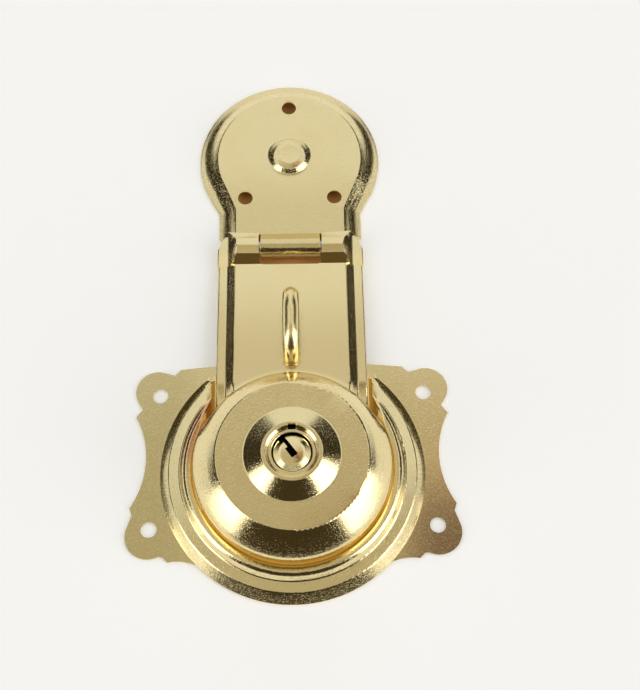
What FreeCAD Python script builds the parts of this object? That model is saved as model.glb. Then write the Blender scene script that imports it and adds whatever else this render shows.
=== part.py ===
import FreeCAD
import Part

import math
import os

# A surface-mounted trunk lock in stamped sheet steel. The lid plate carries a hinged hasp with a
# round lock case at its free end, and the case comes down into the moulded ring of the base plate,
# where a staple stands up for the lock's bolt.
# The frame: origin on the plug's axis at the mounting plane, +Y towards the hinge, +Z outwards.
# All lengths are in millimetres and all angles in degrees.

SHEET = 1.0
BEYOND = 60.0
RUNNING_FIT = 0.08
SEAT_GAP = 0.05
LOOSE_GAP = 0.5
SCREW_HOLE_RADIUS = 2.4

# Base plate: four ears, and a ring moulding that is open at the top for the arm.
PLATE_TOP_Y = 35.7
PLATE_SHOULDER = (34.9, 34.0)
UPPER_NOTCH = (36.6, 32.1)
UPPER_EAR_CENTRE = (42.0, 26.6)
UPPER_EAR_RADIUS = 6.75
UPPER_HOLE = (41.1, 25.3)
SIDE_CUSP = (48.4, 18.4)
SIDE_WAIST = (44.9, 4.0)
LOWER_CUSP = (49.3, -10.6)
LOWER_EAR_CENTRE = (43.4, -19.2)
LOWER_EAR_RADIUS = 7.05
LOWER_HOLE = (43.3, -17.3)
BOTTOM_CUSP = (37.5, -27.2)
RING_WIDTH = 10.2
RING_FOOT_ANGLE = -44.5
RING_SLOPE_RUN = 2.5
LEDGE_HEIGHT = 4.2
LEDGE_RISE = 0.5
LEDGE_WIDTH = 3.0
BEAD_HEIGHT = 7.5
BEAD_WIDTH = 2.2
RING_GAP_HALF_WIDTH = 24.1
RING_GAP_TAPER = 2.7
RING_END_Y = 30.3
RING_END_SLOPE = 0.39

# Lock case, one stamping with the arm of the hasp.
CASE_RADIUS = 29.7
CASE_EDGE_Z = 6.0
CASE_RIM_Z = 7.4
CASE_TOP_Z = 18.6
CASE_TOP_RADIUS = 22.6
CASE_BULGE_INSET = 1.2
CASE_BULGE_DROP = 4.1
CASE_BULGE_ROUND = 15.0
CONE_RADIUS = 14.35
CREST_RADIUS = 8.4
CREST_Z = 22.0
PLUG_OPENING_RADIUS = 7.1
CASE_TO_RING_GAP = 0.5
ARM_FLARE_RADIUS = 28.2
ARM_FLARE_Z = 9.9

# Arm of the hasp: a tray section that climbs from the hinge to the lock case.
FIELD_HALF_WIDTH = 17.9
SLOPE_RUN = 2.4
SLOPE_DROP = 3.0
ARM_HALF_WIDTH = 23.4
SKIRT_DEPTH = 5.0
ARM_CLIMB = 0.101
RIDGE_FOOT_Y = 68.4
FIELD_Z_AT_RIDGE = 6.2

# Hinge between the lid plate and the hasp.
PIN_Y = 74.6
PIN_Z = 5.3
PIN_RADIUS = 2.2
PIN_HALF_LENGTH = 16.0
KNUCKLE_HALF_WIDTH = 9.7
RIDGE_HALF_LENGTH = 17.0
RIDGE_BASE_HALF_LENGTH = 19.2
TAIL_HALF_LENGTH = 20.3
EAR_BULGE = 0.4
RIDGE_COVER = 3.7
TAIL_RADIUS = 5.0
PIN_TAB_OFFSET = 14.4
PIN_TAB_THICKNESS = 1.2

# Lid plate: a round head on a straight neck, with a bell-shaped skirt all round.
HEAD_Y = 109.9
HEAD_RADIUS = 30.2
HEAD_FIELD_RADIUS = 23.8
LID_HEIGHT = 4.4
NECK_HALF_WIDTH = 23.4
NECK_FIELD_HALF_WIDTH = 17.6
NECK_CORNER_Y = 89.8
TOP_HOLE_Y = 129.1
NECK_HOLE = (14.8, 93.9)
BOSS_RADIUS = 7.3
BOSS_TOP_RADIUS = 4.2
BOSS_HEIGHT = 1.6

# Pull loop on the arm.
LOOP_WIRE_RADIUS = 2.4
LOOP_CENTRE_Y = 44.6
LOOP_SPACING = 21.2
LOOP_HEIGHT = 10.5
LOOP_BEND_RADIUS = 8.0
WASHER_THICKNESS = 0.8
WASHER_RADIUS = 4.4

# Lock works inside the case.
SLEEVE_BORE_RADIUS = 6.0
SLEEVE_BODY_RADIUS = 8.3
SLEEVE_FLANGE_RADIUS = 10.2
SLEEVE_TOP_Z = 20.7
SLEEVE_BOTTOM_Z = 11.7
FRAME_TOP_Z = 14.2
FRAME_THICKNESS = 1.2
FRAME_PLAY = 0.8
FLANGE_THICKNESS = 1.2
PLUG_FACE_Z = 19.8
PLUG_CROWN = 1.0
SPIGOT_RADIUS = 3.4
SLOT_WIDTH = 2.1
SLOT_PAST_CENTRE = 1.4
SLOT_ANGLE = 36.0
SLOT_FLOOR_Z = 12.6
WARD_LENGTH = 1.9
WARD_DEPTH = 0.9
CAM_THICKNESS = 1.5
CAM_THROW = 5.0
CAM_PIN_RADIUS = 1.0
CAM_PIN_PLAY = 0.25
PLUG_TURN = 90.0
CLIP_THICKNESS = 0.5
NOTCH_WIDTH = 2.3
NOTCH_DEPTH = 1.3

# Bolt, its guides, and the back cover that carries them.
COVER_THICKNESS = 0.8
COVER_TOP_Z = 6.5
COVER_PLAY = 0.6
BOLT_THICKNESS = 2.2
BOLT_LIFT = 0.3
BOLT_TONGUE_HALF_WIDTH = 2.8
BOLT_TIP_Y = -11.0
YOKE_HALF_WIDTH = 7.6
YOKE_BORDER = 1.9
SIDE_PLAY = 0.3
RAIL_WIDTH = 1.6
RAIL_HALF_LENGTH = 8.0
BRIDGE_Y = -9.9
BRIDGE_LENGTH = 4.6
BRIDGE_SHEET = 0.9
BRIDGE_FOOT = 3.4
POST_INSET = 4.0
POST_RADIUS = 2.5
POST_COLLAR_RADIUS = 3.5
POST_ANGLES = (90.0, 215.0, 325.0)
SCREW_SHANK_RADIUS = 1.25
SCREW_HEAD_RADIUS = 2.4
SCREW_HEAD_HEIGHT = 1.2
SCREW_LENGTH = 5.3
POST_HOLE_DEPTH = 5.0
RAIL_OPENING = 3.0
SPRING_EYE_RADIUS = 1.6
SPRING_THICKNESS = 0.4
SPRING_HEIGHT = 1.8

# Staple on the base plate.
STAPLE_Y = -15.0
STAPLE_LENGTH = 2.0
STAPLE_BAR = 1.5
STAPLE_PLAY = 0.4
STAPLE_FOOT_LENGTH = 5.4
COVER_SLOT_PLAY = 1.3
RIVET_RADIUS = 1.2
RIVET_HEAD_RADIUS = 2.0
RIVET_HEAD_HEIGHT = 0.8


def point(plane, first, second):
    """A point of a section: plane is xy, xz or yz, and the third coordinate is zero."""
    if plane == "xy":
        return FreeCAD.Vector(first, second, 0)
    if plane == "xz":
        return FreeCAD.Vector(first, 0, second)
    return FreeCAD.Vector(0, first, second)


def section(plane, corners):
    """A closed face from corners (first, second, radius); each radius rounds its own corner."""
    places = [point(plane, corner[0], corner[1]) for corner in corners]
    radii = [corner[2] if len(corner) > 2 else 0.0 for corner in corners]
    starts = []
    ends = []
    edges = []
    for index, place in enumerate(places):
        if radii[index] <= 0:
            starts.append(place)
            ends.append(place)
            continue
        back = (places[index - 1] - place).normalize()
        ahead = (places[(index + 1) % len(places)] - place).normalize()
        half_angle = back.getAngle(ahead) / 2
        reach = radii[index] / math.tan(half_angle)
        centre = place + (back + ahead).normalize() * (radii[index] / math.sin(half_angle))
        start = place + back * reach
        end = place + ahead * reach
        middle = centre + (place - centre).normalize() * radii[index]
        starts.append(start)
        ends.append(end)
        edges.append((index, Part.Arc(start, middle, end).toShape()))
    arcs = dict(edges)
    loop = []
    for index in range(len(places)):
        if index in arcs:
            loop.append(arcs[index])
        following = (index + 1) % len(places)
        if (ends[index] - starts[following]).Length > 1e-6:
            loop.append(Part.makeLine(ends[index], starts[following]))
    return Part.Face(Part.Wire(loop))


def inset(face, distance):
    """The same section drawn in by a sheet thickness."""
    smaller = face.makeOffset2D(-distance, 2)
    return Part.Face(smaller.Wires[0])


def turned(face):
    """A section in the xz plane turned once round the plug's axis."""
    return face.revolve(FreeCAD.Vector(0, 0, 0), FreeCAD.Vector(0, 0, 1), 360)


def cylinder(radius, bottom, top, x=0.0, y=0.0):
    """An upright cylinder between two heights."""
    return Part.makeCylinder(radius, top - bottom, FreeCAD.Vector(x, y, bottom))


def block(x_low, x_high, y_low, y_high, z_low, z_high):
    """A square block between its limits."""
    corner = FreeCAD.Vector(x_low, y_low, z_low)
    return Part.makeBox(x_high - x_low, y_high - y_low, z_high - z_low, corner)


def along_x(face, half_length):
    """A section in the yz plane drawn out to both sides."""
    moved = face.translated(FreeCAD.Vector(-half_length, 0, 0))
    return moved.extrude(FreeCAD.Vector(2 * half_length, 0, 0))


def pin_circle(radius, half_length):
    """A cylinder round the hinge axis."""
    start = FreeCAD.Vector(-half_length, PIN_Y, PIN_Z)
    return Part.makeCylinder(radius, 2 * half_length, start, FreeCAD.Vector(1, 0, 0))


def field_z(y):
    """Height of the arm's flat field at a place along it."""
    return FIELD_Z_AT_RIDGE + (RIDGE_FOOT_Y - y) * ARM_CLIMB


def arc(start, middle, end):
    """An arc in the xy plane through three places."""
    return Part.Arc(point("xy", *start), point("xy", *middle), point("xy", *end)).toShape()


def line(start, end):
    """A straight edge in the xy plane."""
    return Part.makeLine(point("xy", *start), point("xy", *end))


def on_circle(centre, radius, degrees):
    """A place on a circle."""
    angle = math.radians(degrees)
    return (centre[0] + radius * math.cos(angle), centre[1] + radius * math.sin(angle))


def plate_outline():
    """The eared outline of the base plate, drawn on the right and mirrored to the left."""
    upper_start = on_circle(UPPER_EAR_CENTRE, UPPER_EAR_RADIUS, 114)
    upper_middle = on_circle(UPPER_EAR_CENTRE, UPPER_EAR_RADIUS, 40)
    upper_end = on_circle(UPPER_EAR_CENTRE, UPPER_EAR_RADIUS, -34)
    lower_start = on_circle(LOWER_EAR_CENTRE, LOWER_EAR_RADIUS, 24)
    lower_middle = on_circle(LOWER_EAR_CENTRE, LOWER_EAR_RADIUS, -50)
    lower_end = on_circle(LOWER_EAR_CENTRE, LOWER_EAR_RADIUS, -118)
    upper_valley = (SIDE_CUSP[0] - 2.0, SIDE_CUSP[1] + 2.5)
    lower_valley = (LOWER_CUSP[0] - 0.7, LOWER_CUSP[1] - 2.3)
    bottom_valley = (BOTTOM_CUSP[0] + 1.4, BOTTOM_CUSP[1] + 1.5)
    ring_join = on_circle((0, 0), ring_foot(), RING_FOOT_ANGLE)
    cove = ((BOTTOM_CUSP[0] + ring_join[0]) / 2, BOTTOM_CUSP[1] + 0.1)
    top_middle = (PLATE_SHOULDER[0] / 2, PLATE_TOP_Y - 0.3)
    right = [
        arc((0, PLATE_TOP_Y), top_middle, PLATE_SHOULDER),
        line(PLATE_SHOULDER, UPPER_NOTCH),
        line(UPPER_NOTCH, upper_start),
        arc(upper_start, upper_middle, upper_end),
        line(upper_end, upper_valley),
        line(upper_valley, SIDE_CUSP),
        arc(SIDE_CUSP, SIDE_WAIST, LOWER_CUSP),
        line(LOWER_CUSP, lower_valley),
        line(lower_valley, lower_start),
        arc(lower_start, lower_middle, lower_end),
        line(lower_end, bottom_valley),
        line(bottom_valley, BOTTOM_CUSP),
        arc(BOTTOM_CUSP, cove, ring_join),
    ]
    left = [edge.mirror(FreeCAD.Vector(0, 0, 0), FreeCAD.Vector(1, 0, 0)) for edge in right]
    bottom = arc(ring_join, (0, -ring_foot()), (-ring_join[0], ring_join[1]))
    ordered = Part.sortEdges(right + [bottom] + left)[0]
    return Part.Face(Part.Wire(ordered))


def ring_seat():
    """Inner radius of the ring moulding, round the case."""
    return CASE_RADIUS + CASE_TO_RING_GAP


def ring_foot():
    """Outer radius of the ring moulding, where it rises from the flat plate."""
    return ring_seat() + RING_WIDTH


def ring_section():
    """Outer surface of the ring moulding, from its foot over ledge and bead to the case's seat."""
    seat = ring_seat()
    foot = ring_foot()
    ledge = foot - RING_SLOPE_RUN
    return section("xz", [
        (seat, -SHEET),
        (seat, BEAD_HEIGHT - 0.9, 0.8),
        (seat + BEAD_WIDTH, BEAD_HEIGHT, 2.6),
        (ledge - LEDGE_WIDTH, LEDGE_HEIGHT + LEDGE_RISE, 1.0),
        (ledge, LEDGE_HEIGHT, 1.2),
        (foot, SHEET),
        (foot, -SHEET),
    ])


def ring_gap(extra):
    """The tapered passage that the arm comes down through, and the sloping ends of the ring."""
    low = RING_GAP_HALF_WIDTH + extra
    high = low + RING_GAP_TAPER
    passage = section("xz", [
        (-low, SHEET - extra), (-low, -2 * SHEET), (low, -2 * SHEET), (low, SHEET - extra),
        (high, BEAD_HEIGHT + SHEET - extra), (-high, BEAD_HEIGHT + SHEET - extra),
    ])
    passage = passage.extrude(FreeCAD.Vector(0, ring_foot() + SHEET, 0))
    end_y = RING_END_Y - extra
    floor = -2 * SHEET
    roof = BEAD_HEIGHT + SHEET
    beyond = section("yz", [
        (end_y - RING_END_SLOPE * (floor - SHEET), floor), (end_y - RING_END_SLOPE * (roof - SHEET), roof),
        (ring_foot() + SHEET, roof), (ring_foot() + SHEET, floor),
    ])
    return passage.fuse(along_x(beyond, high))


def base_plate():
    """Eared plate and ring moulding in one stamping, with its screw holes."""
    flat = plate_outline().extrude(FreeCAD.Vector(0, 0, SHEET))
    outside = ring_section()
    ring = turned(outside).cut(ring_gap(0))
    hollow = turned(inset(outside, SHEET)).cut(ring_gap(SHEET))
    plate = flat.fuse(ring).cut(hollow)
    below = block(-BEYOND, BEYOND, -BEYOND, BEYOND, -3 * SHEET, 0)
    plate = plate.cut(below)
    for x, y in (UPPER_HOLE, LOWER_HOLE):
        for side in (-1, 1):
            plate = plate.cut(cylinder(SCREW_HOLE_RADIUS, -SHEET, 3 * SHEET, side * x, y))
    for x in rivet_places():
        plate = plate.cut(cylinder(RIVET_RADIUS, -SHEET, 3 * SHEET, x, STAPLE_Y))
    return plate.removeSplitter()


def staple_leg_x():
    """Inner face of a staple leg, which the bolt passes with play."""
    return BOLT_TONGUE_HALF_WIDTH + STAPLE_PLAY


def bolt_z():
    """Lower and upper face of the bolt."""
    low = COVER_TOP_Z + BOLT_LIFT
    return low, low + BOLT_THICKNESS


def rivet_places():
    """The two rivets stand in the middle of the staple's feet."""
    outer = staple_leg_x() + STAPLE_BAR
    place = outer + STAPLE_FOOT_LENGTH / 2
    return (-place, place)


def catch_staple():
    """A bent strip that the bolt slides through, on two feet riveted to the base plate."""
    inner = staple_leg_x()
    outer = inner + STAPLE_BAR
    bar_low = bolt_z()[1] + STAPLE_PLAY
    bar_high = bar_low + STAPLE_BAR
    y_low = STAPLE_Y - STAPLE_LENGTH / 2
    y_high = STAPLE_Y + STAPLE_LENGTH / 2
    strip = section("xz", [
        (-outer, SHEET), (-outer, bar_high, 1.8), (outer, bar_high, 1.8), (outer, SHEET),
        (inner, SHEET), (inner, bar_low, 0.4), (-inner, bar_low, 0.4), (-inner, SHEET),
    ])
    staple = strip.extrude(FreeCAD.Vector(0, STAPLE_LENGTH, 0)).translated(FreeCAD.Vector(0, y_low, 0))
    for side in (-1, 1):
        near = side * inner
        far = side * (outer + STAPLE_FOOT_LENGTH)
        half = RIVET_HEAD_RADIUS + 0.4
        foot = block(min(near, far), max(near, far), STAPLE_Y - half, STAPLE_Y + half, SHEET, 2 * SHEET)
        staple = staple.fuse(foot)
    for x in rivet_places():
        staple = staple.cut(cylinder(RIVET_RADIUS, 0, 3 * SHEET, x, STAPLE_Y))
    return staple.removeSplitter()


def rivet(radius, head_radius, head_height, bottom, seat):
    """A domed rivet: its shank fills the hole and its head lies on the seat."""
    dome = section("xz", [
        (0, bottom), (radius, bottom), (radius, seat), (head_radius, seat),
        (head_radius, seat + 0.3 * head_height, 0.2 * head_height),
        (0.5 * head_radius, seat + head_height, 0.5 * head_height), (0, seat + head_height),
    ])
    return turned(dome)


def staple_rivets():
    """Two rivets, flush with the back of the base plate."""
    one = rivet(RIVET_RADIUS, RIVET_HEAD_RADIUS, RIVET_HEAD_HEIGHT, 0, 2 * SHEET)
    places = rivet_places()
    return Part.makeCompound([one.translated(FreeCAD.Vector(x, STAPLE_Y, 0)) for x in places])


def lid_outline(radius, half_width, z):
    """Round head and straight neck joined by tangents from the neck's corners, at one height."""
    end_y = PIN_Y + TAIL_RADIUS + LOOSE_GAP
    drop = HEAD_Y - NECK_CORNER_Y
    distance = math.hypot(half_width, drop)
    touch_angle = math.degrees(math.atan2(-drop, half_width) + math.acos(radius / distance))
    touch = on_circle((0, HEAD_Y), radius, touch_angle)
    corner = (half_width, NECK_CORNER_Y)
    wire = Part.Wire([
        arc(touch, (0, HEAD_Y + radius), (-touch[0], touch[1])),
        line((-touch[0], touch[1]), (-corner[0], corner[1])),
        line((-corner[0], corner[1]), (-half_width, end_y)),
        line((-half_width, end_y), (half_width, end_y)),
        line((half_width, end_y), corner),
        line(corner, touch),
    ])
    return wire.translated(FreeCAD.Vector(0, 0, z))


def lid_form():
    """Solid under the lid plate's outer surface: field, bell-shaped skirt and boss."""
    shares = ((1.0, 0.0), (1.0, SHEET), (0.68, 1.4), (0.46, 2.2), (0.26, 3.2), (0.08, 4.15), (0.0, LID_HEIGHT))
    outlines = []
    for run, z in shares:
        radius = HEAD_FIELD_RADIUS + run * (HEAD_RADIUS - HEAD_FIELD_RADIUS)
        half_width = NECK_FIELD_HALF_WIDTH + run * (NECK_HALF_WIDTH - NECK_FIELD_HALF_WIDTH)
        outlines.append(lid_outline(radius, half_width, z))
    form = Part.makeLoft(outlines, True, True)
    boss = Part.makeCone(BOSS_RADIUS, BOSS_TOP_RADIUS, BOSS_HEIGHT, FreeCAD.Vector(0, HEAD_Y, LID_HEIGHT))
    return form.fuse(boss)


def knuckle_radius():
    """Outside of the lid plate's tongue where it is rolled round the pin."""
    return PIN_RADIUS + RUNNING_FIT + SHEET


def tongue():
    """The strip that climbs from the lid plate's neck and is rolled round the hinge pin."""
    radius = knuckle_radius()
    bend_y = PIN_Y + TAIL_RADIUS + 0.7
    away_y = bend_y - PIN_Y
    away_z = LID_HEIGHT - PIN_Z
    distance = math.hypot(away_y, away_z)
    lean = math.degrees(math.atan2(away_z, away_y) + math.acos(radius / distance))
    outer = on_circle((PIN_Y, PIN_Z), radius, lean)
    inner = on_circle((PIN_Y, PIN_Z), radius - SHEET, lean)
    slope = (LID_HEIGHT - outer[1]) / (bend_y - outer[0])
    lower_y = inner[0] + (LID_HEIGHT - SHEET - inner[1]) / slope
    root_y = PIN_Y + TAIL_RADIUS + LOOSE_GAP + 2.0
    strip = section("yz", [
        (root_y, LID_HEIGHT), (bend_y, LID_HEIGHT), outer, inner,
        (lower_y, LID_HEIGHT - SHEET), (root_y, LID_HEIGHT - SHEET),
    ])
    barrel = pin_circle(radius, KNUCKLE_HALF_WIDTH)
    rolled = barrel.fuse(along_x(strip, KNUCKLE_HALF_WIDTH))
    rolled = rolled.cut(pin_circle(PIN_RADIUS + RUNNING_FIT, KNUCKLE_HALF_WIDTH + 1))
    slit_far = on_circle((PIN_Y, PIN_Z), radius + 1, -28)
    slit_wide = on_circle((PIN_Y, PIN_Z), radius + 1, -38)
    slit = section("yz", [(PIN_Y, PIN_Z), slit_far, slit_wide])
    return rolled.cut(along_x(slit, KNUCKLE_HALF_WIDTH + 1))


def lid_plate():
    """Round-headed plate for the lid: sheet of even depth under the form, and the hinge tongue."""
    form = lid_form()
    sheet = form.cut(form.translated(FreeCAD.Vector(0, 0, -SHEET)))
    sheet = sheet.fuse(tongue())
    places = [(0, TOP_HOLE_Y), NECK_HOLE, (-NECK_HOLE[0], NECK_HOLE[1])]
    for x, y in places:
        sheet = sheet.cut(cylinder(SCREW_HOLE_RADIUS, -SHEET, LID_HEIGHT + SHEET, x, y))
    return sheet.removeSplitter()


def case_section(edge_z):
    """Outer surface of the round lock case, from its turned-down edge up to the plug opening."""
    return section("xz", [
        (0, edge_z), (CASE_RADIUS, edge_z),
        (CASE_RADIUS, CASE_RIM_Z, 0.7),
        (CASE_RADIUS - CASE_BULGE_INSET, CASE_TOP_Z - CASE_BULGE_DROP, CASE_BULGE_ROUND),
        (CASE_TOP_RADIUS, CASE_TOP_Z, 0.8),
        (CONE_RADIUS, CASE_TOP_Z, 1.2),
        (CREST_RADIUS + 0.6, CREST_Z, 0.5), (CREST_RADIUS - 0.5, CREST_Z, 0.4),
        (PLUG_OPENING_RADIUS - 0.2, CREST_Z - 1.0), (0, CREST_Z - 1.0),
    ])


def arm_section(skirt, widen=0.0):
    """Tray section of the arm, its field at height zero."""
    slope_x = FIELD_HALF_WIDTH + SLOPE_RUN
    edge_x = ARM_HALF_WIDTH + widen
    side = [
        (FIELD_HALF_WIDTH, 0, 0.6), (slope_x, -SLOPE_DROP, 1.0),
        (edge_x, -SLOPE_DROP - 0.7, 0.7), (edge_x, -skirt),
    ]
    mirrored = [(-corner[0],) + tuple(corner[1:]) for corner in reversed(side)]
    return section("xz", side + mirrored)


def arm_body(face, end_y):
    """A tray section drawn along the arm's climb, from the hinge cover towards the case."""
    placed = face.translated(FreeCAD.Vector(0, RIDGE_FOOT_Y, FIELD_Z_AT_RIDGE))
    reach = RIDGE_FOOT_Y - end_y
    return placed.extrude(FreeCAD.Vector(0, -reach, reach * ARM_CLIMB))


def ear_outline():
    """Plan of the hinge end: two rounded ears that reach up to the tips of the tail."""
    widest = ARM_HALF_WIDTH + EAR_BULGE
    side = [
        (ARM_HALF_WIDTH, RIDGE_FOOT_Y - 3), (widest, PIN_Y - 4.4, 4.0), (widest, PIN_Y - 0.6, 6.0),
        (TAIL_HALF_LENGTH + 1.6, PIN_Y + 3.9, 3.0), (TAIL_HALF_LENGTH, PIN_Y + TAIL_RADIUS + 0.5),
    ]
    mirrored = [(-corner[0],) + tuple(corner[1:]) for corner in reversed(side)]
    return section("xy", side + mirrored)


def hinge_end(face, plan):
    """The level end of the arm, a tray section drawn along Y and trimmed to the ears' plan."""
    placed = face.translated(FreeCAD.Vector(0, RIDGE_FOOT_Y, FIELD_Z_AT_RIDGE))
    level = placed.extrude(FreeCAD.Vector(0, PIN_Y + TAIL_RADIUS + 1 - RIDGE_FOOT_Y, 0))
    limit = plan.translated(FreeCAD.Vector(0, 0, -SKIRT_DEPTH)).extrude(FreeCAD.Vector(0, 0, CREST_Z))
    return level.common(limit)


def arm_flare():
    """The hollow blend where the arm's field meets the wall of the case."""
    face = section("xz", [
        (CASE_TOP_RADIUS - 2, ARM_FLARE_Z - 2), (ARM_FLARE_RADIUS + 0.6, ARM_FLARE_Z - 0.9),
        (ARM_FLARE_RADIUS - 1.6, ARM_FLARE_Z + 0.8, 3.0), (ARM_FLARE_RADIUS - 3.9, ARM_FLARE_Z + 3.6),
        (CASE_TOP_RADIUS - 2, ARM_FLARE_Z + 3.6),
    ])
    width = FIELD_HALF_WIDTH - 0.4
    return turned(face).common(block(-width, width, 0, RIDGE_FOOT_Y, 0, CREST_Z))


def ridge_section():
    """Hinge cover of the hasp, seen from the side."""
    crest = PIN_Z + RIDGE_COVER
    tail_y = PIN_Y + TAIL_RADIUS
    return section("yz", [
        (RIDGE_FOOT_Y - 1.0, PIN_Z - 2.0), (RIDGE_FOOT_Y - 1.0, FIELD_Z_AT_RIDGE - 0.6),
        (RIDGE_FOOT_Y, FIELD_Z_AT_RIDGE), (RIDGE_FOOT_Y + 2.9, crest - 0.5, 1.4),
        (PIN_Y - 0.4, crest, 2.4), (PIN_Y + 2.1, crest - 0.6, 0.5),
        (tail_y, PIN_Z + 0.9), (tail_y, PIN_Z - 2.0),
    ])


def ridge_ends(extra):
    """The sloping ends that close the hinge cover; its base widens towards the tail."""
    crest = PIN_Z + RIDGE_COVER
    low = PIN_Z - 3.0
    middle = FIELD_Z_AT_RIDGE - 0.4
    top = RIDGE_HALF_LENGTH - extra
    wires = []
    for base, y in ((RIDGE_BASE_HALF_LENGTH, RIDGE_FOOT_Y), (TAIL_HALF_LENGTH, PIN_Y + TAIL_RADIUS)):
        foot = base - extra
        corners = [(-foot, low), (foot, low), (foot, middle), (top, crest), (-top, crest), (-foot, middle)]
        places = [FreeCAD.Vector(x, y, z) for x, z in corners]
        wires.append(Part.makePolygon(places + places[:1]))
    return Part.makeLoft(wires, True, True)


def tail_limit():
    """What the hinge end must stay within, so that it clears the lid plate as the hasp swings."""
    before = block(-BEYOND, BEYOND, -BEYOND, PIN_Y, -BEYOND, BEYOND)
    return before.fuse(pin_circle(TAIL_RADIUS, BEYOND))


def loop_feet():
    """Places of the pull loop's two feet along the arm."""
    half = LOOP_SPACING / 2
    return (LOOP_CENTRE_Y - half, LOOP_CENTRE_Y + half)


def rim_notch(low, high):
    """The locating notch beside the plug opening."""
    reach = PLUG_OPENING_RADIUS + NOTCH_DEPTH
    return block(-NOTCH_WIDTH / 2, NOTCH_WIDTH / 2, SLEEVE_BORE_RADIUS + 0.8, reach, low, high)


def hasp_form():
    """Solid under the outer surface of the hasp."""
    outside = turned(case_section(CASE_EDGE_Z)).fuse(arm_flare())
    outside = outside.fuse(arm_body(arm_section(SKIRT_DEPTH), 6))
    outside = outside.fuse(hinge_end(arm_section(SKIRT_DEPTH, EAR_BULGE), ear_outline()))
    return outside.fuse(along_x(ridge_section(), TAIL_HALF_LENGTH).common(ridge_ends(0)))


def hasp_hollow():
    """The same solid one sheet thickness further in, open below."""
    deeper = SKIRT_DEPTH + 2 * SHEET
    inside = turned(inset(case_section(CASE_EDGE_Z - 2 * SHEET), SHEET))
    inside = inside.fuse(arm_body(inset(arm_section(deeper), SHEET), 0))
    level = hinge_end(inset(arm_section(deeper, EAR_BULGE), SHEET), inset(ear_outline(), SHEET))
    inside = inside.fuse(level)
    ridge = along_x(inset(ridge_section(), SHEET), TAIL_HALF_LENGTH).common(ridge_ends(SHEET))
    half = RIDGE_HALF_LENGTH - SHEET
    back_end = block(-half, half, PIN_Y, PIN_Y + TAIL_RADIUS + 2, PIN_Z - 4, PIN_Z + 0.4)
    return inside.fuse(ridge).fuse(back_end)


def pin_tabs():
    """Two tabs folded down inside the hinge cover, which hold the ends of the pin."""
    cover = along_x(ridge_section(), TAIL_HALF_LENGTH).common(ridge_ends(0))
    tabs = []
    for side in (-1, 1):
        near = side * PIN_TAB_OFFSET
        far = side * (PIN_TAB_OFFSET + PIN_TAB_THICKNESS)
        tab = block(min(near, far), max(near, far), PIN_Y - PIN_RADIUS - 1.4, PIN_Y + PIN_RADIUS + 1.0,
                    PIN_Z - PIN_RADIUS - 0.9, PIN_Z + RIDGE_COVER - SHEET / 2)
        lower = block(min(near, far), max(near, far), PIN_Y - PIN_RADIUS - 1.4, PIN_Y + PIN_RADIUS + 1.0,
                      PIN_Z - PIN_RADIUS - 0.9, PIN_Z)
        tabs.append(tab.common(cover).fuse(lower).common(tail_limit()))
    return tabs


def hasp_shell():
    """Hinge cover, arm and lock case in one drawn stamping of even sheet."""
    shell = hasp_form().cut(hasp_hollow())
    shell = shell.cut(cylinder(PLUG_OPENING_RADIUS, 0, CREST_Z + 5))
    shell = shell.cut(rim_notch(CASE_TOP_Z, CREST_Z + 5))
    shell = shell.common(tail_limit())
    for tab in pin_tabs():
        shell = shell.fuse(tab)
    shell = shell.cut(pin_circle(PIN_RADIUS, PIN_HALF_LENGTH))
    window_x = KNUCKLE_HALF_WIDTH + LOOSE_GAP
    window_y = PIN_Y - knuckle_radius() - 3.1
    window = block(-window_x, window_x, window_y, PIN_Y + TAIL_RADIUS + 5, -5, CREST_Z)
    corners = [edge for edge in window.Edges if abs(edge.BoundBox.YMin - window_y) < 0.01
               and edge.BoundBox.YLength < 0.01 and edge.BoundBox.XLength < 0.01]
    shell = shell.cut(window.makeFillet(1.6, corners))
    for y in loop_feet():
        shell = shell.cut(cylinder(LOOP_WIRE_RADIUS + SEAT_GAP, 0, CREST_Z, 0, y))
    return shell.removeSplitter()


def hinge_pin():
    """Pin of the hinge, fixed in the hasp's tabs and turning in the lid plate's knuckle."""
    return pin_circle(PIN_RADIUS, PIN_HALF_LENGTH)


def pull_loop():
    """A bent wire handle whose feet pass through the arm and are headed over washers."""
    near, far = loop_feet()
    crown = field_z(LOOP_CENTRE_Y) + LOOP_HEIGHT - LOOP_WIRE_RADIUS
    bend = LOOP_BEND_RADIUS
    diagonal = bend * (1 - math.sqrt(0.5))
    head = 1.0
    under = SHEET + WASHER_THICKNESS + ARM_CLIMB * WASHER_RADIUS + head
    low_near = field_z(near) - under
    low_far = field_z(far) - under
    path = Part.Wire([
        Part.makeLine(point("yz", near, low_near), point("yz", near, crown - bend)),
        Part.Arc(point("yz", near, crown - bend), point("yz", near + diagonal, crown - diagonal),
                 point("yz", near + bend, crown)).toShape(),
        Part.makeLine(point("yz", near + bend, crown), point("yz", far - bend, crown)),
        Part.Arc(point("yz", far - bend, crown), point("yz", far - diagonal, crown - diagonal),
                 point("yz", far, crown - bend)).toShape(),
        Part.makeLine(point("yz", far, crown - bend), point("yz", far, low_far)),
    ])
    circle = Part.makeCircle(LOOP_WIRE_RADIUS, point("yz", near, low_near), FreeCAD.Vector(0, 0, 1))
    wire = path.makePipeShell([Part.Wire([circle])], True, False)
    for y, low in ((near, low_near), (far, low_far)):
        wire = wire.fuse(cylinder(LOOP_WIRE_RADIUS + 1.0, low, low + head - 0.1, 0, y))
    return wire.removeSplitter()


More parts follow.
